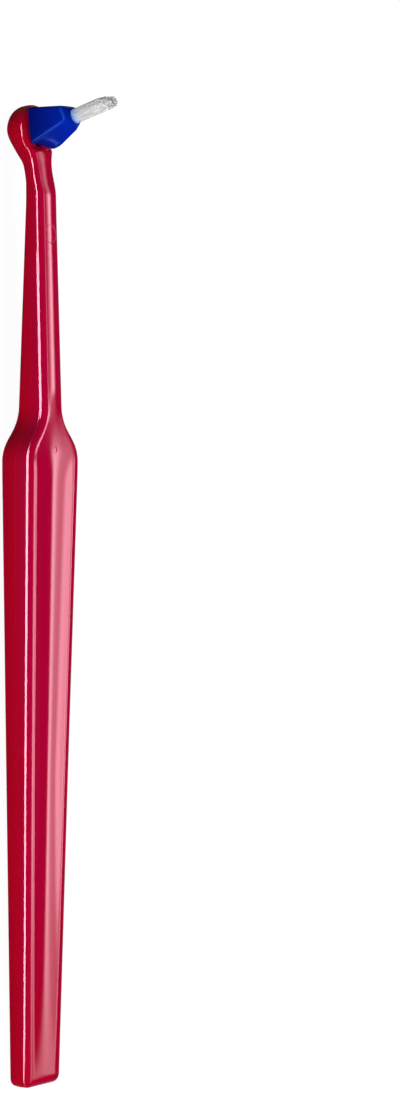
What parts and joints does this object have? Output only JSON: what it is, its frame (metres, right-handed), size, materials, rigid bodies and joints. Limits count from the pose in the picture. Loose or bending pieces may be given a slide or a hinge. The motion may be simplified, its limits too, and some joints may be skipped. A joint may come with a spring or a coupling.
{
  "type": "single-tuft interdental brush",
  "caption": "Interspace brush with a flat tapered handle, a ring head, and a push-in tip that carries one pointed tuft of filaments at an angle.",
  "frame": {"origin": "middle of the handle's length, on the plane of the grip's flat back", "axes": "+X along the handle from head to butt, +Y across it, +Z out of the front, the way the tuft points"},
  "size_m": [0.1609, 0.014, 0.0195],
  "materials": {
    "handle_plastic": "gloss",
    "tip_plastic": "gloss",
    "filaments": "satin"
  },
  "bodies": {
    "handle": {"handle": "handle_plastic"},
    "tip": {"tip_body": "tip_plastic", "tuft": "filaments"}
  },
  "joints": [
    {"name": "tip_push_fit", "type": "slide", "parent": "handle", "child": "tip", "axis": [-0.1132, 0, 0.9936], "range_m": [0, 0.012]}
  ]
}
